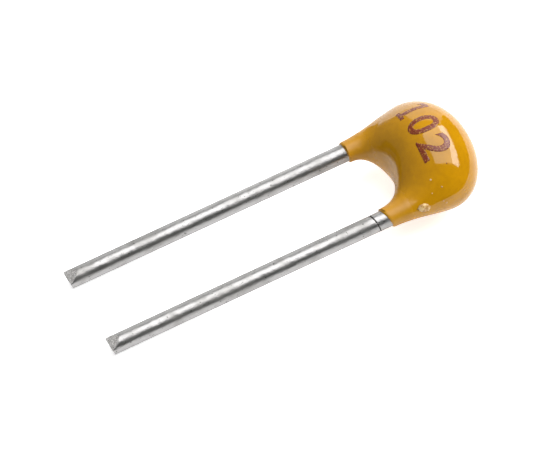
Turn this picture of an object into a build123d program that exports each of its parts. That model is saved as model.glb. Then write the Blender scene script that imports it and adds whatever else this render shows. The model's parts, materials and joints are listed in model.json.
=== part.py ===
from build123d import *
import os
from math import cos, degrees, hypot, pi, sin

# A dipped radial multilayer ceramic capacitor: a chip soldered between two tinned wires, under epoxy.
# Lengths are in millimetres. The part lies as it comes to rest, on its belly and the tips of its wires.
# X runs along the wires towards the dome, Y to the left and Z up, with the floor at zero.

# The two wires: their bare lengths run from the edge of the coat to the sheared tip
LEAD_PITCH = 2.54
LEAD_DIAMETER = 0.51
LEFT_LEAD_LENGTH = 8.28
RIGHT_LEAD_LENGTH = 8.29

# The shear bevelled the top of each tip, and left the end face leaning back under its edge
BEVEL_LENGTH = 0.29
BEVEL_DEPTH = 0.165
END_LEAN = 0.09

# The inner end of each wire is pressed into an oval paddle that lies along the chip
GRIP_LENGTH = 0.2
PADDLE_THICKNESS = 0.38
PADDLE_LENGTH = 0.85

# The epoxy coat, measured from its edge on the wires to the top of its dome
BODY_LENGTH = 3.09
BODY_WIDTH = 3.57
BODY_THICKNESS = 2.54
SHOULDER_LENGTH = 1.83
ARCH_DEPTH = 0.725
NECK_WALL = 0.045

# How dipping and draining left the coat uneven
DOME_LEAN = 0.088
ARCH_LEAN = 0.083
BELLY_SAG = 0.06
NECK_LIP = 0.12

# The chip, with its two metal end caps
CHIP_WIDTH = 1.25
CHIP_THICKNESS = 0.95
CHIP_COVER = 0.43
CHIP_EDGE_RADIUS = 0.06
CAP_WALL = 0.04
CAP_WRAP = 0.42
SOLDER_FILM = 0.03

# The metal plates inside the chip
PLATE_COUNT = 11
PLATE_THICKNESS = 0.02
PLATE_COVER = 0.12
PLATE_SIDE_MARGIN = 0.16
PLATE_END_MARGIN = 0.22

# How the coat is swept from the left wire, over the dome, to the right wire
STATION_STEPS = 18
QUARTER_STEPS = 3
NECK_SHARE = 0.213
FLARE_POWER = 2.7
LIP_POWER = 12
REST_STEPS = 40

lead_radius = LEAD_DIAMETER / 2
lead_side = LEAD_PITCH / 2
tip_edge_height = lead_radius - BEVEL_DEPTH
neck_radius = lead_radius + NECK_WALL
paddle_half = PADDLE_THICKNESS / 2
paddle_height = lead_radius**2 / paddle_half

chip_start = ARCH_DEPTH + CHIP_COVER
chip_middle = chip_start + CHIP_WIDTH / 2
cap_end = lead_side - paddle_half - SOLDER_FILM
chip_end = cap_end - CAP_WALL


def outer_point(share):
    """The coat's outline, at a share of the way from the left wire over the dome to the right."""
    neck_reach = lead_side + neck_radius
    widest = BODY_WIDTH / 2
    if NECK_SHARE <= share <= 1 - NECK_SHARE:
        turn = pi * (share - NECK_SHARE) / (1 - 2 * NECK_SHARE)
        along = SHOULDER_LENGTH + (BODY_LENGTH - SHOULDER_LENGTH) * sin(turn)
        left = widest * cos(turn)
    else:
        run = min(share, 1 - share) / NECK_SHARE
        side = 1 if share < NECK_SHARE else -1
        along = SHOULDER_LENGTH * run
        left = side * (neck_reach + (widest - neck_reach) * (1 - cos(pi * run)) / 2)
    return Vector(along, left + DOME_LEAN * sin(pi * share))


def inner_point(share):
    """The arch between the wires, with the lip that ran down the right wire."""
    along = ARCH_DEPTH * sin(pi * share) - NECK_LIP * share**LIP_POWER
    left = (lead_side - neck_radius) * cos(pi * share) + ARCH_LEAN * sin(pi * share)
    return Vector(along, left)


def station(share):
    """Centre, half width and half thickness of the coat's oval section."""
    outer = outer_point(share)
    inner = inner_point(share)
    swell = sin(pi * share)
    centre = (outer + inner) / 2 - Vector(0, 0, BELLY_SAG * swell)
    half_thickness = neck_radius + (BODY_THICKNESS / 2 - neck_radius) * swell**FLARE_POWER
    return centre, (outer - inner) / 2, half_thickness


station_shares = [step / STATION_STEPS for step in range(STATION_STEPS + 1)]


def coat_reach(direction):
    """How far the coat reaches from the wires' midpoint in a direction."""
    reaches = []
    for share in station_shares:
        centre, half_width, half_thickness = station(share)
        spread = hypot(half_width.dot(direction), half_thickness * direction.Z)
        reaches.append(centre.dot(direction) + spread)
    return max(reaches)


# The part tips until its belly and its longer wire are level on the floor
longest_lead = max(LEFT_LEAD_LENGTH, RIGHT_LEAD_LENGTH)
low_tilt = 0
high_tilt = pi / 4
for step in range(REST_STEPS):
    tilt = (low_tilt + high_tilt) / 2
    belly_depth = coat_reach(Vector(-sin(tilt), 0, -cos(tilt)))
    tip_depth = (longest_lead - END_LEAN) * sin(tilt) + lead_radius * cos(tilt)
    if belly_depth > tip_depth:
        low_tilt = tilt
    else:
        high_tilt = tilt

tip_reach = longest_lead * cos(tilt) + tip_edge_height * sin(tilt)
dome_reach = coat_reach(Vector(cos(tilt), 0, -sin(tilt)))
rest = Plane(
    origin=((tip_reach - dome_reach) / 2, 0, tip_depth),
    x_dir=(cos(tilt), 0, sin(tilt)),
    z_dir=(-sin(tilt), 0, cos(tilt)),
)


def laid(plane):
    """A plane of the level part, tipped to where the part rests."""
    return rest * plane.location


def across_wires(along):
    """A plane square to the wires, with its own axes to the left and up."""
    return laid(Plane((along, 0, 0), x_dir=(0, 1, 0), z_dir=(1, 0, 0)))


def build_lead(side, bare_length):
    """A round wire with a sheared tip, pressed into a paddle where it meets the chip."""
    middle = (side * lead_side, 0)
    with BuildPart() as lead:
        with BuildSketch(across_wires(-bare_length)):
            with Locations(middle):
                Circle(lead_radius)
        extrude(amount=bare_length + GRIP_LENGTH)
        with BuildSketch(across_wires(GRIP_LENGTH)):
            with Locations(middle):
                Circle(lead_radius)
        with BuildSketch(across_wires(chip_start)):
            with Locations(middle):
                Ellipse(paddle_half, paddle_height)
        loft()
        with BuildSketch(across_wires(chip_start)):
            with Locations(middle):
                Ellipse(paddle_half, paddle_height)
        extrude(amount=PADDLE_LENGTH)
        # The shear left the tip's edge a little above the wire's middle
        side_view = Plane((-bare_length, side * lead_side, 0), x_dir=(1, 0, 0), z_dir=(0, -1, 0))
        with BuildSketch(laid(side_view)):
            Polygon(
                (0, tip_edge_height),
                (BEVEL_LENGTH, lead_radius),
                (-END_LEAN, lead_radius),
                (-END_LEAN, -lead_radius),
                (END_LEAN, -lead_radius),
                align=None,
            )
        extrude(amount=lead_radius, both=True, mode=Mode.SUBTRACT)
    return lead.part


lead_left = build_lead(1, LEFT_LEAD_LENGTH)
lead_right = build_lead(-1, RIGHT_LEAD_LENGTH)

# The fired block as one lump, before its plates are taken out of it
chip_place = Plane((chip_middle, 0, 0))
with BuildPart(laid(chip_place)) as chip_body:
    Box(CHIP_WIDTH, 2 * chip_end, CHIP_THICKNESS)
    fillet(chip_body.edges().filter_by(Axis.Y), CHIP_EDGE_RADIUS)


def build_plate(number):
    """One printed plate, which reaches the left or the right end of the chip by turns."""
    side = 1 if number % 2 == 0 else -1
    stack = CHIP_THICKNESS - 2 * PLATE_COVER - PLATE_THICKNESS
    height = stack * (number / (PLATE_COUNT - 1) - 1 / 2)
    length = 2 * chip_end - PLATE_END_MARGIN
    place = Plane((chip_middle, side * PLATE_END_MARGIN / 2, height))
    with BuildPart(laid(place)) as plate:
        Box(CHIP_WIDTH - 2 * PLATE_SIDE_MARGIN, length, PLATE_THICKNESS)
    return plate.part


plates = [build_plate(number) for number in range(PLATE_COUNT)]

with BuildPart() as ceramic_block:
    add(chip_body.part)
    for plate in plates:
        add(plate, mode=Mode.SUBTRACT)


def build_termination(side):
    """The metal cap that is fired round one end of the chip."""
    end_face = Plane((chip_middle, side * cap_end, 0), x_dir=(1, 0, 0), z_dir=(0, -side, 0))
    with BuildPart() as termination:
        with BuildSketch(laid(end_face)):
            Rectangle(CHIP_WIDTH + 2 * CAP_WALL, CHIP_THICKNESS + 2 * CAP_WALL)
        extrude(amount=CAP_WALL + CAP_WRAP)
        rim = termination.faces().sort_by(Axis.Y)[0 if side > 0 else -1]
        fillet(termination.edges() - rim.edges(), CHIP_EDGE_RADIUS)
        add(chip_body.part, mode=Mode.SUBTRACT)
    return termination.part


termination_left = build_termination(1)
termination_right = build_termination(-1)


def build_solder(side, lead):
    """The solder drawn up between a cap and the paddle beside it."""
    height = CHIP_THICKNESS / 2
    crest = paddle_height + SOLDER_FILM
    with BuildPart() as solder:
        with BuildSketch(across_wires(chip_start)):
            with BuildLine():
                Bezier((side * cap_end, height), (side * cap_end, crest), (side * lead_side, crest))
                Line((side * lead_side, crest), (side * lead_side, -crest))
                Bezier((side * lead_side, -crest), (side * cap_end, -crest), (side * cap_end, -height))
                Line((side * cap_end, -height), (side * cap_end, height))
            make_face()
        extrude(amount=PADDLE_LENGTH)
        add(lead, mode=Mode.SUBTRACT)
    return solder.part


solder_left = build_solder(1, lead_left)
solder_right = build_solder(-1, lead_right)

quarter_shares = [step / QUARTER_STEPS for step in range(QUARTER_STEPS + 1)]


def oval(half_width, half_thickness):
    """An oval outline in four quarters, so that all the sections meet corner to corner."""
    for quarter in range(4):
        turns = [pi / 2 * (quarter + share) for share in quarter_shares]
        points = [(half_width * cos(turn), half_thickness * sin(turn)) for turn in turns]
        tangents = [(-sin(turn), cos(turn)) for turn in (turns[0], turns[-1])]
        Spline(points, tangents=tangents)


# The coat closes round everything that was dipped
dipped = [lead_left, lead_right, chip_body.part]
dipped += [termination_left, termination_right, solder_left, solder_right]
with BuildPart() as epoxy_coating:
    for share in station_shares:
        centre, half_width, half_thickness = station(share)
        across = half_width.normalized()
        section = Plane(centre, x_dir=across, z_dir=across.cross(Vector(0, 0, 1)))
        with BuildSketch(laid(section)):
            with BuildLine():
                oval(half_width.length, half_thickness)
            make_face()
    loft()
    for piece in dipped:
        add(piece, mode=Mode.SUBTRACT)

pieces = {
    "epoxy_coating": epoxy_coating.part,
    "lead_left": lead_left,
    "lead_right": lead_right,
    "ceramic_block": ceramic_block.part,
    "termination_left": termination_left,
    "termination_right": termination_right,
    "solder_left": solder_left,
    "solder_right": solder_right,
}
for number, plate in enumerate(plates, start=1):
    pieces[f"electrode_{number:02d}"] = plate

os.makedirs("parts", exist_ok=True)
for name, piece in pieces.items():
    piece.label = name
    export_step(piece, f"parts/{name}.step")

print(f"rests tipped by {degrees(tilt):.2f} degrees")
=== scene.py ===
import json
from math import cos, pi, radians, sin

import bmesh
import bpy
from mathutils import Matrix, Vector, noise
from mathutils.bvhtree import BVHTree


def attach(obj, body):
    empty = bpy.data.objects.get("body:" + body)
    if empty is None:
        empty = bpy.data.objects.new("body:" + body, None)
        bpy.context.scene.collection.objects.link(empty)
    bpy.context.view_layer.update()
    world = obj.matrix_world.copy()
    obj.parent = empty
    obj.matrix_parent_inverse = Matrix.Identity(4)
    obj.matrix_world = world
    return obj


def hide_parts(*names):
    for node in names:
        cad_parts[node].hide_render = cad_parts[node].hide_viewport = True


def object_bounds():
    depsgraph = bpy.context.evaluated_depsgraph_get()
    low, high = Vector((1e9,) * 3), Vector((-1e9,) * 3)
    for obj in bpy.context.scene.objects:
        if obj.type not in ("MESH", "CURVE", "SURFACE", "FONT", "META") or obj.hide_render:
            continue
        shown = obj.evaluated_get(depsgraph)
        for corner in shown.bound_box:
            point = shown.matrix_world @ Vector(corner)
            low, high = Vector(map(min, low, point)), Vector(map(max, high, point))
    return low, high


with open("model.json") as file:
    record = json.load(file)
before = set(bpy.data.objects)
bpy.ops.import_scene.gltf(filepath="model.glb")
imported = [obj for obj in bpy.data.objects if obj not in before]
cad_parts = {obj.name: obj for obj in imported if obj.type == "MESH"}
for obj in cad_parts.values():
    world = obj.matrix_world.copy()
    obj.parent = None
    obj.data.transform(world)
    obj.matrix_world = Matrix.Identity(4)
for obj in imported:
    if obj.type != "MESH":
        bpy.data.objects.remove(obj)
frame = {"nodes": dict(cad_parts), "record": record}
cad_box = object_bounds()

# A dipped radial ceramic capacitor: a glossy epoxy bead on two straight tinned wires.
# Lengths are in metres, and small ones are written as millimetres times MM.
MM = 0.001

# The epoxy coat, from its edge on the wires to the top of its dome
BODY_LENGTH = 3.09 * MM
BODY_WIDTH = 3.57 * MM
BODY_THICKNESS = 2.54 * MM
SHOULDER_LENGTH = 1.83 * MM
ARCH_DEPTH = 0.725 * MM
NECK_WALL = 0.045 * MM
DOME_LEAN = 0.088 * MM
ARCH_LEAN = 0.083 * MM
BELLY_SAG = 0.06 * MM
NECK_SHARE = 0.213
FLARE_POWER = 2.7
COAT_STATIONS = 150
COAT_SEGMENTS = 96
COAT_RIPPLE = 0.006 * MM
COAT_RIPPLE_LENGTH = 0.8 * MM

# The coat's thin rounded edge on each wire, and how far dipping left it slanted
LIP_LENGTH = 0.06 * MM
LIP_STEPS = 4
BORE_DEPTH = 0.25 * MM
EDGE_REACH = 0.55 * MM
EDGE_BESIDE_SHARE = 2
LEFT_EDGE_SHIFT = 0.01 * MM
LEFT_EDGE_SLANT = 0.03 * MM
RIGHT_EDGE_SHIFT = 0.085 * MM
RIGHT_EDGE_SLANT = 0.1 * MM
SLANT_SIDE_SHARE = 0.8
SLANT_UP_SHARE = 0.6

# The wires, each sheared at its tip and pressed into a paddle inside the coat
GRIP_LENGTH = 0.2 * MM
BEVEL_LENGTH = 0.29 * MM
BEVEL_DEPTH = 0.165 * MM
END_LEAN = 0.09 * MM
TIP_EDGE_RADIUS = 0.012 * MM
TIP_EDGE_STEPS = 2
PADDLE_START = 1.155 * MM
PADDLE_LENGTH = 0.85 * MM
PADDLE_HALF = 0.19 * MM
WIRE_SEGMENTS = 64
WIRE_RING_STEP = 0.12 * MM
WIRE_RIPPLE = 0.0016 * MM
WIRE_RIPPLE_LENGTH = 0.7 * MM

# Corners nearer to a cut than this are moved onto it, so that no slivers are left
CUT_SNAP = 0.004 * MM

# The fine line scored round the right wire, just short of the coat, with painted shade on the faces in its
# middle; the shares are of the line's width
SCORE_PLACE = 0.415 * MM
SCORE_SLANT = 0.055 * MM
SCORE_WIDTH = 0.012 * MM
SCORE_DEPTH = 0.022 * MM
SCORE_RING_SHARES = (-2.5, -1.5, -0.5, 0.5, 1.5, 2.5)
SCORE_SUNK_SHARE = 1
# Faces within this share of the line's width take the groove's dark finish, which is painted shade
SCORE_SHADE_SHARE = 1.2
SCORE_SLANTED_SHARE = 3

# The ink on the top of the dome: a plain value number
PRINT_TEXT = "102"
PRINT_ALONG = 1.895 * MM
PRINT_LEFT = 0.16 * MM
PRINT_TURN = radians(3)
DIGIT_PITCH = 0.715 * MM
DIGIT_HEIGHT = 0.87 * MM
DIGIT_FATTEN_SHARE = 0.016
PRINT_CELL = 0.04 * MM
INK_FILM = 0.004 * MM

# The figure one is built of a stem, a foot and a sloping flag, in shares of its height
STEM_WIDTH_SHARE = 0.16
FOOT_WIDTH_SHARE = 0.42
FOOT_HEIGHT_SHARE = 0.125
FLAG_WIDTH_SHARE = 0.17
FLAG_HEIGHT_SHARE = 0.15
FLAG_DROP_SHARE = 0.1

# The photograph's view, and places on the coat in its pixels
VIEW_WIDTH_PX = 540
VIEW_HEIGHT_PX = 450
PX_PER_MM = 37.677
NECK_MIDDLE_PX = (366.5, 184.9)
VIEW_AZIMUTH = radians(26.89)
VIEW_ELEVATION = radians(49.33)
LENS_MM = 500
SENSOR_MM = 36
CLIP_RATIO = 100
CRUMB_PX = (423.6, 207.8)
SPECKS_PX = ((430, 180), (441, 187), (431.5, 193.5), (446, 202.5), (443, 201), (464, 190))
SPOTS_PX = ((416, 143.5), (446, 163.5), (452, 118))

# The grains stuck to the coat: a crumb, and specks and spots in a few sizes
CRUMB_SIZE = (0.175 * MM, 0.115 * MM, 0.045 * MM)
CRUMB_SEED = 3
SPECK_RADIUS = 0.03 * MM
SPOT_RADIUS = 0.022 * MM
GRAIN_FLATNESS_SHARE = 0.35
GRAIN_LUMP_SHARE = 0.35
GRAIN_LUMP_RATE = 2
GRAIN_SUBDIVISIONS = 3
GRAIN_SIZES = 3
GRAIN_SHRINK_SHARE = 0.4
SIGHT_START = 4 * BODY_WIDTH

# The epoxy: tones are screen values of 0 to 255, and a range is the part of a pattern that is used
RESIN_IOR = 1.52
EPOXY_DEEP = (190, 134, 6)
EPOXY_BRIGHT = (202, 144, 8)
EPOXY_FLECK = (167, 110, 9)
EPOXY_FLECK_STRENGTH = 0.2
EPOXY_CLOUD_SIZE = 0.9 * MM
EPOXY_CLOUD_RANGE = (0.3, 0.7)
EPOXY_FLECK_SIZE = 0.12 * MM
EPOXY_FLECK_RANGE = (0.35, 0.75)
EPOXY_RIPPLE_SIZE = 0.45 * MM
EPOXY_RIPPLE_STRENGTH = 0.8
EPOXY_GRAIN_SIZE = 0.05 * MM
EPOXY_GRAIN_STRENGTH = 0.03
EPOXY_BUMP = 0.012 * MM
EPOXY_ROUGHNESS = 0.05
EPOXY_FLECK_ROUGHNESS = 0.06

# The coat is duller on its thin necks, and turns glossy between these two places along the wires
NECK_ROUGHNESS = 0.35
NECK_DULL_RANGE = (0.35 * MM, 0.95 * MM)

# The tinned wires: lines from drawing, dents, dull patches and dark specks
WIRE_BRIGHT = (173, 172, 171)
WIRE_DULL = (150, 148, 145)
WIRE_SPECK = (84, 82, 78)
WIRE_LINE_SIZE = 0.02 * MM
WIRE_LINE_SQUEEZE = (0.03, 1, 1)
WIRE_LINE_STRENGTH = 0.2
WIRE_LINE_ROUGHNESS = 0.06
WIRE_DENT_SIZE = 0.22 * MM
WIRE_DENT_STRENGTH = 1.5
WIRE_PATCH_SIZE = 0.5 * MM
WIRE_PATCH_RANGE = (0.45, 0.7)
WIRE_PATCH_STRENGTH = 0.6
WIRE_PATCH_ROUGHNESS = 0.1
WIRE_SPECK_SIZE = 0.07 * MM
WIRE_SPECK_LEVEL = 0.67
WIRE_SPECK_STRENGTH = 0.7
WIRE_BUMP = 0.012 * MM
WIRE_ROUGHNESS = 0.31

# The torn faces of the wires' tips
TORN_DARK = (166, 163, 160)
TORN_BRIGHT = (240, 238, 236)
TORN_GRAIN_SIZE = 0.035 * MM
TORN_GRAIN_RANGE = (0.35, 0.7)
TORN_METALLIC = 0.4
TORN_ROUGHNESS = 0.55
TORN_BRIGHT_GLOSS = 0.2
TORN_BUMP = 0.03 * MM

# The ink, where the coat shows through pinholes
INK_DARK = (92, 30, 16)
INK_LIGHT = (146, 66, 34)
INK_PINHOLE = (190, 136, 40)
INK_PINHOLE_SIZE = 0.05 * MM
INK_PINHOLE_RANGE = (0.52, 0.66)
INK_PINHOLE_STRENGTH = 0.75
INK_PINHOLE_ROUGHNESS = 0.1
INK_MOTTLE_SIZE = 0.02 * MM
INK_ROUGHNESS = 0.25
INK_BUMP = 0.004 * MM

# The pale crumbs
CRUMB_DARK = (178, 128, 62)
CRUMB_LIGHT = (228, 196, 136)
CRUMB_GRAIN_SIZE = 0.09 * MM
CRUMB_GRAIN_RANGE = (0.35, 0.65)
CRUMB_ROUGHNESS = 0.18
CRUMB_LIGHT_ROUGHNESS = 0.2
CRUMB_BUMP = 0.02 * MM

# Finishes of two tones in fine grains: dark tone, light tone, size of the grains, metallic, roughness
GRAINED_FINISHES = {
    # The scored groove's dark tones are painted shade in the groove, not the wire's own colour
    "groove_painted_shade": ((46, 44, 42), (78, 75, 72), 0.03 * MM, 0.0, 0.6),
    "fired_ceramic": ((150, 118, 84), (196, 164, 126), 0.05 * MM, 0.0, 0.55),
    "fired_silver": ((160, 158, 152), (214, 212, 206), 0.06 * MM, 1.0, 0.3),
    "dull_solder": ((128, 128, 128), (178, 178, 176), 0.08 * MM, 1.0, 0.4),
    "nickel_film": ((120, 116, 108), (164, 160, 150), 0.04 * MM, 1.0, 0.35),
}
GRAINED_RANGE = (0.3, 0.7)
GRAINED_LIGHT_ROUGHNESS = 0.15
GRAINED_BUMP_SHARE = 0.125

# The finish of each kind of solid inside the coat, by the first word of its name
INNER_FINISHES = {
    "ceramic": "fired_ceramic",
    "termination": "fired_silver",
    "solder": "dull_solder",
    "electrode": "nickel_film",
}

# The floor and the sky: a tone is the share of light that is sent back, a glow or a fill is a brightness
FLOOR_RADIUS = 0.09
FLOOR_SEGMENTS = 64
FLOOR_TONE = 0.9
FLOOR_GLOW = 0.32
FLOOR_SHOWN_GLOW = 0.42
SKY_FILL = 0.04
SIDE_FILL = 0.2
SIDE_FILL_FROM = (-0.49, 0.587, 0.643)

# The card that darkens what the coat mirrors: it fades to the floor's tone at its right edge
CARD_TONE = 0.03
CARD_RIGHT = 2 * MM
CARD_FRONT = 3.6 * MM
CARD_REACH = 60 * MM
CARD_RISE = 0.02 * MM
CARD_FADE_RANGE = (-4 * MM, CARD_RIGHT)

# The lamps: each panel's place from the coat's middle, the way its back points, the way its width runs,
# its width and depth, and its brightness, where 1 is white
PANEL_TILT = (0.524, -0.066, 0.849)
PANELS = {
    "overhead_softbox": ((0.048, -0.001, 0.187), PANEL_TILT, (1, -0.03, 0), (0.242, 0.204), 2.9),
    "key_strip": ((0.127, -0.004, 0.134), PANEL_TILT, (1, -0.14, 0), (0.055, 0.2), 5.2),
    "back_wall": ((0.078, 0.17, 0.068), (0.39, 0.85, 0.34), (0.91, -0.42, 0), (0.18, 0.146), 1.2),
}

mounts = {mount["name"]: mount for mount in frame["record"]["mounts"]}
left_seat = Vector(mounts["lead_left_pin"]["pos_m"])
right_seat = Vector(mounts["lead_right_pin"]["pos_m"])
lead_radius = mounts["lead_left_pin"]["dims"]["r_mm"] * MM
lead_side = (left_seat - right_seat).length / 2
neck_radius = lead_radius + NECK_WALL
paddle_height = lead_radius**2 / PADDLE_HALF

# The part's own axes: along the wires to the dome, to the left and up, from midway between the wires
along_axis = -Vector(mounts["lead_left_pin"]["axis"]).normalized()
left_axis = (left_seat - right_seat).normalized()
up_axis = along_axis.cross(left_axis)
part_frame = Matrix((along_axis, left_axis, up_axis)).transposed().to_4x4()
part_frame.translation = (left_seat + right_seat) / 2
to_part = part_frame.inverted()

# The photograph's axes: image right, image up and the direction towards the camera
view_right = Vector((cos(VIEW_AZIMUTH), -sin(VIEW_AZIMUTH), 0))
view_away = Vector((sin(VIEW_AZIMUTH), cos(VIEW_AZIMUTH), 0))
view_up = view_away * sin(VIEW_ELEVATION) + Vector((0, 0, cos(VIEW_ELEVATION)))
view_back = view_right.cross(view_up)


def pixel_offset(pixel):
    """A pixel's place in the plane of the picture that holds the middle of the wires' necks."""
    across = (pixel[0] - NECK_MIDDLE_PX[0]) / PX_PER_MM * MM
    upward = (NECK_MIDDLE_PX[1] - pixel[1]) / PX_PER_MM * MM
    return part_frame.translation + view_right * across + view_up * upward


class Socket:
    """A node's output that takes part in sums: each operator adds a Math node."""

    def __init__(self, finish, socket):
        self.finish = finish
        self.socket = socket

    def math(self, operation, first, second):
        return self.finish.node("ShaderNodeMath", {"operation": operation}, {0: first, 1: second})

    def __add__(self, other):
        return self.math("ADD", self, other)

    def __sub__(self, other):
        return self.math("SUBTRACT", self, other)

    def __rsub__(self, other):
        return self.math("SUBTRACT", other, self)

    def __mul__(self, other):
        return self.math("MULTIPLY", self, other)

    def __gt__(self, other):
        return self.math("GREATER_THAN", self, other)

    __radd__ = __add__
    __rmul__ = __mul__


class Finish:
    """A node tree under construction, for a material or for the world."""

    def __init__(self, owner):
        owner.use_nodes = True
        self.tree = owner.node_tree
        self.tree.nodes.clear()

    def node(self, kind, settings=None, inputs=None, output=0):
        made = self.tree.nodes.new(kind)
        for name, value in (settings or {}).items():
            setattr(made, name, value)
        for name, value in (inputs or {}).items():
            if isinstance(value, Socket):
                self.tree.links.new(value.socket, made.inputs[name])
            else:
                made.inputs[name].default_value = value
        return Socket(self, made.outputs[output]) if made.outputs else None

    def place(self, scale=(1, 1, 1), turn=(0, 0, 0)):
        """The surface's own place, scaled and then turned."""
        spot = self.node("ShaderNodeTexCoord", output="Object")
        return self.node("ShaderNodeMapping", None, {"Vector": spot, "Scale": scale, "Rotation": turn})

    def towards(self, spot, direction):
        """How far a place lies in a direction."""
        inputs = {0: spot, 1: direction}
        return self.node("ShaderNodeVectorMath", {"operation": "DOT_PRODUCT"}, inputs, output="Value")

    def along(self):
        """How far the surface lies from the coat's edge, along the wires towards the dome."""
        spot = self.node("ShaderNodeTexCoord", output="Object")
        return self.towards(spot, along_axis) - along_axis.dot(part_frame.translation)

    def noise(self, size, detail=3.0, place=None):
        """Soft blotches about as large as size, from 0 to 1."""
        spot = place or self.place()
        return self.node("ShaderNodeTexNoise", None, {"Vector": spot, "Scale": 1 / size, "Detail": detail})

    def spread(self, value, span):
        """Stretches a span, from its low end to its high end, over 0 to 1."""
        inputs = {"Value": value, "From Min": span[0], "From Max": span[1]}
        return self.node("ShaderNodeMapRange", {"interpolation_type": "SMOOTHSTEP"}, inputs)

    def mix(self, share, first, second):
        """Two colours by share."""
        inputs = {"Factor": share, 6: first, 7: second}
        return self.node("ShaderNodeMix", {"data_type": "RGBA"}, inputs, output=2)

    def bump(self, height, depth):
        return self.node("ShaderNodeBump", None, {"Height": height, "Distance": depth, "Strength": 1.0})

    def surface(self, inputs):
        """Ends the tree in one physically based surface."""
        shader = self.node("ShaderNodeBsdfPrincipled", None, inputs)
        self.node("ShaderNodeOutputMaterial", None, {"Surface": shader})

    def matt_glow(self, tone, strength):
        """Ends the tree in a matt surface that also glows."""
        matt = self.node("ShaderNodeBsdfDiffuse", None, {"Color": tone})
        glow = self.node("ShaderNodeEmission", None, {"Strength": strength})
        both = self.node("ShaderNodeAddShader", None, {0: matt, 1: glow})
        self.node("ShaderNodeOutputMaterial", None, {"Surface": both})


def new_finish(name):
    material = bpy.data.materials.new(name)
    return material, Finish(material)


def colour(screen):
    """An opaque colour from screen values of 0 to 255, by the curve that screens follow."""
    return [((value / 255 + 0.055) / 1.055) ** 2.4 for value in screen] + [1]


def grey(tone):
    """An opaque grey that sends back a share of the light."""
    return (tone, tone, tone, 1)


def epoxy_finish():
    """Glossy mustard resin, a little uneven in tone, with the faint ripple of a dipped skin."""
    material, finish = new_finish("dipped_epoxy")
    clouds = finish.spread(finish.noise(EPOXY_CLOUD_SIZE), EPOXY_CLOUD_RANGE)
    flecks = finish.spread(finish.noise(EPOXY_FLECK_SIZE, detail=5), EPOXY_FLECK_RANGE)
    tone = finish.mix(clouds, colour(EPOXY_DEEP), colour(EPOXY_BRIGHT))
    ripple = finish.noise(EPOXY_RIPPLE_SIZE, detail=2)
    grain = finish.noise(EPOXY_GRAIN_SIZE)
    neck = 1 - finish.spread(finish.along(), NECK_DULL_RANGE)
    height = ripple * EPOXY_RIPPLE_STRENGTH + grain * EPOXY_GRAIN_STRENGTH
    finish.surface({
        "Base Color": finish.mix(flecks * EPOXY_FLECK_STRENGTH, tone, colour(EPOXY_FLECK)),
        "Roughness": EPOXY_ROUGHNESS + flecks * EPOXY_FLECK_ROUGHNESS + neck * NECK_ROUGHNESS,
        "IOR": RESIN_IOR,
        "Normal": finish.bump(height, EPOXY_BUMP),
    })
    return material


def wire_finish():
    """Tin with fine lines from drawing, faint dents, dull patches and dark specks."""
    material, finish = new_finish("tinned_wire")
    turn = (0, -along_axis.to_track_quat("X", "Z").to_euler().y, 0)
    lines = finish.noise(WIRE_LINE_SIZE, detail=2, place=finish.place(WIRE_LINE_SQUEEZE, turn))
    dents = finish.noise(WIRE_DENT_SIZE, detail=5)
    patches = finish.spread(finish.noise(WIRE_PATCH_SIZE, detail=6), WIRE_PATCH_RANGE)
    specks = finish.noise(WIRE_SPECK_SIZE) > WIRE_SPECK_LEVEL
    tone = finish.mix(patches * WIRE_PATCH_STRENGTH, colour(WIRE_BRIGHT), colour(WIRE_DULL))
    height = lines * WIRE_LINE_STRENGTH + dents * WIRE_DENT_STRENGTH
    finish.surface({
        "Base Color": finish.mix(specks * WIRE_SPECK_STRENGTH, tone, colour(WIRE_SPECK)),
        "Metallic": 1.0,
        "Roughness": WIRE_ROUGHNESS + patches * WIRE_PATCH_ROUGHNESS + lines * WIRE_LINE_ROUGHNESS,
        "Normal": finish.bump(height, WIRE_BUMP),
    })
    return material


def sheared_finish():
    """The torn grey faces that cutting left on a wire's tip."""
    material, finish = new_finish("sheared_metal")
    grain = finish.noise(TORN_GRAIN_SIZE, detail=6)
    bright = finish.spread(grain, TORN_GRAIN_RANGE)
    finish.surface({
        "Base Color": finish.mix(bright, colour(TORN_DARK), colour(TORN_BRIGHT)),
        "Metallic": TORN_METALLIC,
        "Roughness": TORN_ROUGHNESS - bright * TORN_BRIGHT_GLOSS,
        "Normal": finish.bump(grain, TORN_BUMP),
    })
    return material


def ink_finish():
    """Red-brown ink, with the pinholes of a coarse print."""
    material, finish = new_finish("printed_ink")
    pinholes = finish.spread(finish.noise(INK_PINHOLE_SIZE), INK_PINHOLE_RANGE)
    mottle = finish.noise(INK_MOTTLE_SIZE, detail=2)
    ink = finish.mix(mottle, colour(INK_DARK), colour(INK_LIGHT))
    finish.surface({
        "Base Color": finish.mix(pinholes * INK_PINHOLE_STRENGTH, ink, colour(INK_PINHOLE)),
        "Roughness": INK_ROUGHNESS + pinholes * INK_PINHOLE_ROUGHNESS,
        "Normal": finish.bump(mottle, INK_BUMP),
    })
    return material


def crumb_finish():
    """A pale crumb of cured resin."""
    material, finish = new_finish("pale_crumb")
    grain = finish.noise(CRUMB_GRAIN_SIZE, detail=4)
    light = finish.spread(grain, CRUMB_GRAIN_RANGE)
    finish.surface({
        "Base Color": finish.mix(light, colour(CRUMB_DARK), colour(CRUMB_LIGHT)),
        "Roughness": CRUMB_ROUGHNESS + light * CRUMB_LIGHT_ROUGHNESS,
        "IOR": RESIN_IOR,
        "Normal": finish.bump(grain, CRUMB_BUMP),
    })
    return material


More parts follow.
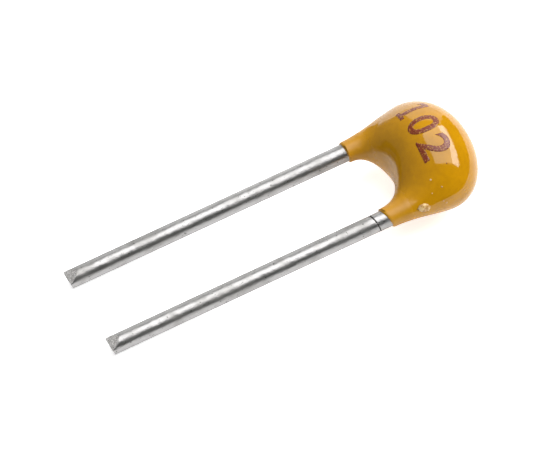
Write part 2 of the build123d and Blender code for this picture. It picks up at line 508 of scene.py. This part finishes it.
def grained_finish(name):
    """One of the finishes of two tones in fine grains."""
    dark, light, size, metallic, roughness = GRAINED_FINISHES[name]
    material, finish = new_finish(name)
    grain = finish.noise(size, detail=5)
    share = finish.spread(grain, GRAINED_RANGE)
    finish.surface({
        "Base Color": finish.mix(share, colour(dark), colour(light)),
        "Metallic": metallic,
        "Roughness": roughness + share * GRAINED_LIGHT_ROUGHNESS,
        "Normal": finish.bump(grain, size * GRAINED_BUMP_SHARE),
    })
    return material


def mesh_object(name, shape, materials):
    """Makes an object of a mesh that is already in place."""
    mesh = bpy.data.meshes.new(name)
    shape.to_mesh(mesh)
    shape.free()
    for material in materials:
        mesh.materials.append(material)
    piece = bpy.data.objects.new(name, mesh)
    bpy.context.scene.collection.objects.link(piece)
    return piece


def finish_piece(name, shape, materials, node=None):
    """Makes a finished piece that rides on the part, in place of a solid where one is named."""
    piece = mesh_object(name, shape, materials)
    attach(piece, "root")
    if node:
        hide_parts(node)


def ring(shape, centre, across, upward, segments):
    """A closed ring of edges: a unit circle laid on two half axes, all in the part's own axes."""
    place = Matrix((across, upward, across.cross(upward))).transposed().to_4x4()
    place.translation = centre
    made = bmesh.ops.create_circle(shape, segments=segments, radius=1, matrix=part_frame @ place)
    return list({edge for vert in made["verts"] for edge in vert.link_edges})


def skin(shape, rings):
    """Joins rings, one to the next, and closes the first and last."""
    for first, second in zip(rings, rings[1:]):
        bmesh.ops.bridge_loops(shape, edges=first + second)
    for end in (rings[0], rings[-1]):
        bmesh.ops.edgeloop_fill(shape, edges=end)
    bmesh.ops.recalc_face_normals(shape, faces=shape.faces)
    for face in shape.faces:
        face.smooth = True


def cut(shape, place, direction, clear_outer):
    """Cuts a shape along a plane, and can clear away what lies beyond it."""
    everything = shape.verts[:] + shape.edges[:] + shape.faces[:]
    bmesh.ops.bisect_plane(
        shape, geom=everything, dist=CUT_SNAP, plane_co=place, plane_no=direction.normalized(),
        use_snap_center=True, clear_outer=clear_outer,
    )


def unevenness(spot, length):
    """A soft random level from 0 to 1, which changes over about a length."""
    return 0.5 + noise.noise(spot / length) / 2


def outer_point(share):
    """The coat's outline, at a share of the way from the left wire over the dome to the right."""
    neck_reach = lead_side + neck_radius
    widest = BODY_WIDTH / 2
    if NECK_SHARE <= share <= 1 - NECK_SHARE:
        turn = pi * (share - NECK_SHARE) / (1 - 2 * NECK_SHARE)
        along = SHOULDER_LENGTH + (BODY_LENGTH - SHOULDER_LENGTH) * sin(turn)
        left = widest * cos(turn)
    else:
        run = min(share, 1 - share) / NECK_SHARE
        side = 1 if share < NECK_SHARE else -1
        along = SHOULDER_LENGTH * run
        left = side * (neck_reach + (widest - neck_reach) * (1 - cos(pi * run)) / 2)
    return Vector((along, left + DOME_LEAN * sin(pi * share), 0))


def inner_point(share):
    """The arch between the wires."""
    swell = sin(pi * share)
    left = (lead_side - neck_radius) * cos(pi * share) + ARCH_LEAN * swell
    return Vector((ARCH_DEPTH * swell, left, 0))


def coat_ring(shape, share):
    """One oval section of the coat."""
    outer = outer_point(share)
    inner = inner_point(share)
    swell = sin(pi * share)
    centre = (outer + inner) / 2 - Vector((0, 0, BELLY_SAG * swell))
    half_thickness = neck_radius + (BODY_THICKNESS / 2 - neck_radius) * swell**FLARE_POWER
    return ring(shape, centre, (outer - inner) / 2, Vector((0, 0, half_thickness)), COAT_SEGMENTS)


def lip_rings(shape, side):
    """The coat's rounded edge on one wire, from inside the bore out to the neck."""
    steps = [(BORE_DEPTH, lead_radius)]
    for step in range(LIP_STEPS):
        turn = pi / 2 * step / LIP_STEPS
        steps.append((LIP_LENGTH * (1 - cos(turn)), lead_radius + NECK_WALL * sin(turn)))
    made = []
    for along, radius in steps:
        centre = Vector((along, side * lead_side, 0))
        made.append(ring(shape, centre, Vector((0, side * radius, 0)), Vector((0, 0, radius)), COAT_SEGMENTS))
    return made


def slant_edge(shape, side, shift, slant):
    """Draws the coat's edge out along a wire, further on one side than the other."""
    for vert in shape.verts:
        spot = to_part @ vert.co
        beside = (spot.y - side * lead_side) / neck_radius
        if spot.x < EDGE_REACH and abs(beside) < EDGE_BESIDE_SHARE:
            lean = SLANT_SIDE_SHARE * beside + SLANT_UP_SHARE * spot.z / neck_radius
            fade = (1 - spot.x / EDGE_REACH) ** 2
            vert.co -= along_axis * (shift + slant * max(-1, min(1, lean))) * fade


def build_coat():
    """The dipped coat: oval sections fanned round the arch, drawn down to a thin lip on each wire."""
    shape = bmesh.new()
    first_share = NECK_SHARE * LIP_LENGTH / SHOULDER_LENGTH
    rings = lip_rings(shape, 1)
    for station in range(COAT_STATIONS + 1):
        rings.append(coat_ring(shape, first_share + (1 - 2 * first_share) * station / COAT_STATIONS))
    rings += reversed(lip_rings(shape, -1))
    skin(shape, rings)
    slant_edge(shape, 1, LEFT_EDGE_SHIFT, LEFT_EDGE_SLANT)
    slant_edge(shape, -1, RIGHT_EDGE_SHIFT, RIGHT_EDGE_SLANT)
    shape.normal_update()
    for vert in shape.verts:
        if (to_part @ vert.co).x > EDGE_REACH:
            vert.co -= vert.normal * COAT_RIPPLE * unevenness(vert.co, COAT_RIPPLE_LENGTH)
    return shape


def wire_stations(bare_length, scored):
    """Places along a wire with its half width and half height, from the tip to the end of the paddle."""
    count = round((bare_length + GRIP_LENGTH) / WIRE_RING_STEP)
    stations = []
    for step in range(count + 1):
        along = -bare_length + (bare_length + GRIP_LENGTH) * step / count
        if not scored or abs(along + SCORE_PLACE) > WIRE_RING_STEP / 2:
            stations.append((along, lead_radius, lead_radius))
    if scored:
        for share in SCORE_RING_SHARES:
            radius = lead_radius - (SCORE_DEPTH if abs(share) < SCORE_SUNK_SHARE else 0)
            stations.append((-SCORE_PLACE + share * SCORE_WIDTH, radius, radius))
        stations.sort()
    stations.append((PADDLE_START, PADDLE_HALF, paddle_height))
    stations.append((PADDLE_START + PADDLE_LENGTH, PADDLE_HALF, paddle_height))
    return stations


def build_lead(side, bare_length, scored):
    """A round wire with a sheared tip; a scored one has a fine groove just short of the coat, with painted
    shade on the groove's middle faces.
    """
    shape = bmesh.new()
    rings = []
    for along, half_width, half_height in wire_stations(bare_length, scored):
        centre = Vector((along, side * lead_side, 0))
        across = Vector((0, half_width, 0))
        rings.append(ring(shape, centre, across, Vector((0, 0, half_height)), WIRE_SEGMENTS))
    skin(shape, rings)
    for face in shape.faces:
        # Faces in the middle of the groove take its dark finish, which is painted shade
        from_score = abs((to_part @ face.calc_center_median()).x + SCORE_PLACE)
        if scored and from_score < SCORE_SHADE_SHARE * SCORE_WIDTH:
            face.material_index = 2
    for vert in shape.verts:
        spot = to_part @ vert.co
        sideways = spot.y - side * lead_side
        if scored and abs(spot.x + SCORE_PLACE) < SCORE_SLANTED_SHARE * SCORE_WIDTH:
            lean = (SLANT_SIDE_SHARE * sideways + SLANT_UP_SHARE * spot.z) / lead_radius
            vert.co -= along_axis * SCORE_SLANT * lean
        outward = (left_axis * sideways + up_axis * spot.z).normalized()
        vert.co -= outward * WIRE_RIPPLE * unevenness(vert.co, WIRE_RIPPLE_LENGTH)
    shear_tip(shape, side, bare_length)
    return shape


def shear_tip(shape, side, bare_length):
    """Cuts the tip to an edge a little above the wire's middle, and eases what the cuts left sharp."""
    edge_point = part_frame @ Vector((-bare_length, side * lead_side, lead_radius - BEVEL_DEPTH))
    bevel_normal = up_axis * BEVEL_LENGTH - along_axis * BEVEL_DEPTH
    end_normal = -along_axis * (2 * lead_radius - BEVEL_DEPTH) - up_axis * END_LEAN
    for normal in (bevel_normal, end_normal):
        cut(shape, edge_point, normal, clear_outer=True)
        rim = [edge for edge in shape.edges if edge.is_boundary]
        for face in bmesh.ops.edgeloop_fill(shape, edges=rim)["faces"]:
            face.material_index = 1
    bmesh.ops.recalc_face_normals(shape, faces=shape.faces)
    torn = [face for face in shape.faces if face.material_index == 1]
    for face in torn:
        face.smooth = False
    bmesh.ops.bevel(
        shape, geom=list({edge for face in torn for edge in face.edges}), offset=TIP_EDGE_RADIUS,
        offset_type="OFFSET", segments=TIP_EDGE_STEPS, profile=0.5, affect="EDGES", material=-1,
        clamp_overlap=True,
    )


def add_bar(shape, left, right, low, high, drop=0):
    """A flat bar, whose left end may hang lower than its right."""
    bar = Matrix((
        (right - left, 0, 0, (left + right) / 2),
        (drop, high - low, 0, (low + high - drop) / 2),
        (0, 0, 1, 0),
        (0, 0, 0, 1),
    ))
    bmesh.ops.create_grid(shape, x_segments=1, y_segments=1, size=0.5, matrix=bar)


def figure_one():
    """A flat figure one, with a foot and a flag, of bars that share whole edges."""
    shape = bmesh.new()
    stem = STEM_WIDTH_SHARE / 2
    foot = FOOT_WIDTH_SHARE / 2
    flag_start = 1 - FLAG_HEIGHT_SHARE
    for left, right in ((-foot, -stem), (-stem, stem), (stem, foot)):
        add_bar(shape, left, right, 0, FOOT_HEIGHT_SHARE)
    add_bar(shape, -stem, stem, FOOT_HEIGHT_SHARE, flag_start)
    add_bar(shape, -stem, stem, flag_start, 1)
    add_bar(shape, -stem - FLAG_WIDTH_SHARE, -stem, flag_start, 1, FLAG_DROP_SHARE)
    return shape


def plain_figure(digit):
    """A flat digit from the built-in font."""
    curve = bpy.data.curves.new("digit", "FONT")
    curve.body = digit
    curve.offset = DIGIT_FATTEN_SHARE
    text = bpy.data.objects.new("digit", curve)
    bpy.context.scene.collection.objects.link(text)
    flat = bpy.data.meshes.new_from_object(text.evaluated_get(bpy.context.evaluated_depsgraph_get()))
    bpy.data.objects.remove(text)
    shape = bmesh.new()
    shape.from_mesh(flat)
    bpy.data.meshes.remove(flat)
    return shape


def cut_in_cells(shape, direction):
    """Cuts a flat shape into strips, so that it can bend over the dome."""
    reach = max(abs(vert.co.dot(direction)) for vert in shape.verts)
    count = int(reach / PRINT_CELL)
    for step in range(-count, count + 1):
        cut(shape, direction * PRINT_CELL * step, direction, clear_outer=False)


def build_digit(coat_tree, digit, number):
    """One digit of the value, laid on the top of the dome as a thin film of ink."""
    shape = figure_one() if digit == "1" else plain_figure(digit)
    low = Vector([min(vert.co[axis] for vert in shape.verts) for axis in range(3)])
    high = Vector([max(vert.co[axis] for vert in shape.verts) for axis in range(3)])
    bmesh.ops.translate(shape, verts=shape.verts, vec=-(low + high) / 2)
    bmesh.ops.scale(shape, verts=shape.verts, vec=(DIGIT_HEIGHT / (high.y - low.y),) * 3)
    bmesh.ops.remove_doubles(shape, verts=shape.verts, dist=CUT_SNAP)
    cut_in_cells(shape, Vector((1, 0, 0)))
    cut_in_cells(shape, Vector((0, 1, 0)))
    bmesh.ops.remove_doubles(shape, verts=shape.verts, dist=CUT_SNAP)
    bmesh.ops.dissolve_degenerate(shape, edges=shape.edges, dist=CUT_SNAP / 2)
    # The film's upper side is a copy of its lower side, a film's thickness above it
    film = bmesh.ops.extrude_face_region(shape, geom=shape.faces[:], use_keep_orig=True)["geom"]
    raised = {item for item in film if isinstance(item, bmesh.types.BMVert)}
    # The number reads to the right of the part, with its top towards the dome
    lay = Matrix.Rotation(-pi / 2 - PRINT_TURN, 4, "Z")
    lay.translation = (PRINT_ALONG, PRINT_LEFT, BODY_THICKNESS)
    shift = Vector((DIGIT_PITCH * (number - (len(PRINT_TEXT) - 1) / 2), 0, 0))
    for vert in shape.verts:
        spot, normal, _, _ = coat_tree.ray_cast(part_frame @ (lay @ (vert.co + shift)), -up_axis)
        vert.co = spot + normal * (INK_FILM if vert in raised else 0)
    bmesh.ops.recalc_face_normals(shape, faces=shape.faces)
    return shape


def coat_under(coat_tree, pixel):
    """Where the line of sight through a pixel meets the coat, with axes to the right, up and out there."""
    spot, normal, _, _ = coat_tree.ray_cast(pixel_offset(pixel) + view_back * SIGHT_START, -view_back)
    right = (view_right - normal * normal.dot(view_right)).normalized()
    place = Matrix((right, normal.cross(right), normal)).transposed().to_4x4()
    place.translation = spot
    return place


def add_lump(shape, place, size, seed):
    """A small rounded grain, flattened on the coat and made uneven."""
    made = bmesh.ops.create_icosphere(shape, subdivisions=GRAIN_SUBDIVISIONS, radius=1)
    for vert in made["verts"]:
        lump = noise.noise(vert.co * GRAIN_LUMP_RATE + Vector((seed, seed, seed)))
        vert.co *= 1 + GRAIN_LUMP_SHARE * lump
    bmesh.ops.scale(shape, verts=made["verts"], vec=size)
    bmesh.ops.transform(shape, verts=made["verts"], matrix=place)
    for face in shape.faces:
        face.smooth = True


def build_lumps(coat_tree, pixels, radius):
    """Grains of one kind, in a few sizes by turns, of which the given radius is the largest."""
    shape = bmesh.new()
    for number, pixel in enumerate(pixels):
        step_down = (number % GRAIN_SIZES) / (GRAIN_SIZES - 1)
        grown = radius * (1 - GRAIN_SHRINK_SHARE * step_down)
        size = (grown, grown, grown * GRAIN_FLATNESS_SHARE)
        add_lump(shape, coat_under(coat_tree, pixel), size, number)
    return shape


def build_object():
    """Every piece that shows."""
    epoxy = epoxy_finish()
    wire = wire_finish()
    sheared = sheared_finish()
    ink = ink_finish()
    crumb = crumb_finish()
    # The groove's finish is dark tones painted as shade in the groove
    groove = grained_finish("groove_painted_shade")
    coat = build_coat()
    coat_tree = BVHTree.FromBMesh(coat)
    finish_piece("dipped_coat", coat, [epoxy], "epoxy_coating")
    for name, side, scored in (("left", 1, False), ("right", -1, True)):
        length = mounts[f"lead_{name}_pin"]["dims"]["length_mm"] * MM - GRIP_LENGTH
        shape = build_lead(side, length, scored)
        materials = [wire, sheared, groove] if scored else [wire, sheared]
        finish_piece(f"{name}_wire", shape, materials, f"lead_{name}")
    for number, digit in enumerate(PRINT_TEXT):
        finish_piece(f"value_digit_{number + 1}", build_digit(coat_tree, digit, number), [ink])
    grain = bmesh.new()
    add_lump(grain, coat_under(coat_tree, CRUMB_PX), CRUMB_SIZE, CRUMB_SEED)
    finish_piece("stuck_crumb", grain, [crumb])
    finish_piece("pale_specks", build_lumps(coat_tree, SPECKS_PX, SPECK_RADIUS), [crumb])
    finish_piece("ink_spots", build_lumps(coat_tree, SPOTS_PX, SPOT_RADIUS), [ink])


def finish_inner_nodes():
    """The chip, its caps, its solder and its plates keep their own solids, with a finish by kind."""
    finishes = {kind: grained_finish(name) for kind, name in INNER_FINISHES.items()}
    for name, node in frame["nodes"].items():
        material = finishes.get(name.split("_")[0])
        if material:
            node.data.materials.clear()
            node.data.materials.append(material)


def build_floor():
    """A plain white floor that keeps the part's shadow, with a faint glow that is stronger to the eye."""
    material, finish = new_finish("pale_floor")
    seen = finish.node("ShaderNodeLightPath", output="Is Camera Ray")
    finish.matt_glow(grey(FLOOR_TONE), FLOOR_GLOW + seen * FLOOR_SHOWN_GLOW)
    shape = bmesh.new()
    bmesh.ops.create_circle(shape, cap_ends=True, segments=FLOOR_SEGMENTS, radius=FLOOR_RADIUS)
    bmesh.ops.translate(shape, verts=shape.verts, vec=(0, 0, cad_box[0].z))
    mesh_object("floor", shape, [material])


def build_dark_card():
    """A card on the floor behind the left wire, dark on its left: the coat mirrors it, the eye misses it."""
    material, finish = new_finish("dark_card")
    spot = finish.node("ShaderNodeTexCoord", output="Object")
    light = finish.spread(finish.node("ShaderNodeSeparateXYZ", None, {0: spot}), CARD_FADE_RANGE)
    tone = finish.mix(light, grey(CARD_TONE), grey(FLOOR_TONE))
    finish.matt_glow(tone, light * FLOOR_GLOW)
    shape = bmesh.new()
    height = cad_box[0].z + CARD_RISE
    right_side = [(CARD_RIGHT, CARD_FRONT, height), (CARD_RIGHT, CARD_REACH, height)]
    left_side = [(-CARD_REACH, CARD_REACH, height), (-CARD_REACH, CARD_FRONT, height)]
    corners = [shape.verts.new(corner) for corner in right_side + left_side]
    bmesh.ops.contextual_create(shape, geom=corners)
    card = mesh_object("dark_card", shape, [material])
    card.visible_camera = False
    card.visible_shadow = False


def light_world():
    """A dim fill, stronger from behind on the left, and plain white to the eye beyond the floor."""
    world = bpy.data.worlds.new("studio")
    bpy.context.scene.world = world
    finish = Finish(world)
    seen = finish.node("ShaderNodeLightPath", output="Is Camera Ray")
    direction = finish.node("ShaderNodeTexCoord", output="Generated")
    fill = SKY_FILL + finish.spread(finish.towards(direction, SIDE_FILL_FROM), (0, 1)) * SIDE_FILL
    strength = fill + seen * (1 - fill)
    sky = finish.node("ShaderNodeBackground", None, {"Color": grey(1), "Strength": strength})
    finish.node("ShaderNodeOutputWorld", None, {"Surface": sky})


def add_softbox(name, place, back, across, size, brightness):
    """A soft panel at a place from the coat's middle, turned by where its back points and its width runs."""
    width, depth = size
    lamp = bpy.data.lights.new(name, "AREA")
    lamp.shape = "RECTANGLE"
    lamp.size = width
    lamp.size_y = depth
    lamp.energy = brightness * pi * width * depth
    panel = bpy.data.objects.new(name, lamp)
    outward = Vector(back).normalized()
    sideways = (Vector(across) - outward * outward.dot(Vector(across))).normalized()
    panel.rotation_euler = Matrix((sideways, outward.cross(sideways), outward)).transposed().to_euler()
    panel.location = part_frame @ Vector((BODY_LENGTH / 2, 0, 0)) + Vector(place)
    panel.visible_camera = False
    bpy.context.scene.collection.objects.link(panel)


def add_camera():
    """A long lens that looks at the part as the photograph does."""
    lens = bpy.data.cameras.new("camera")
    lens.lens = LENS_MM
    lens.sensor_width = SENSOR_MM
    distance = VIEW_WIDTH_PX / PX_PER_MM * MM * LENS_MM / SENSOR_MM
    lens.clip_start = distance / CLIP_RATIO
    lens.clip_end = distance * CLIP_RATIO
    camera = bpy.data.objects.new("camera", lens)
    camera.rotation_euler = Matrix((view_right, view_up, view_back)).transposed().to_euler()
    camera.location = pixel_offset((VIEW_WIDTH_PX / 2, VIEW_HEIGHT_PX / 2)) + view_back * distance
    bpy.context.scene.collection.objects.link(camera)
    bpy.context.scene.camera = camera


build_object()
finish_inner_nodes()
build_floor()
build_dark_card()
light_world()
for panel_name, panel_values in PANELS.items():
    add_softbox(panel_name, *panel_values)
add_camera()
bpy.context.scene.view_settings.view_transform = "Standard"
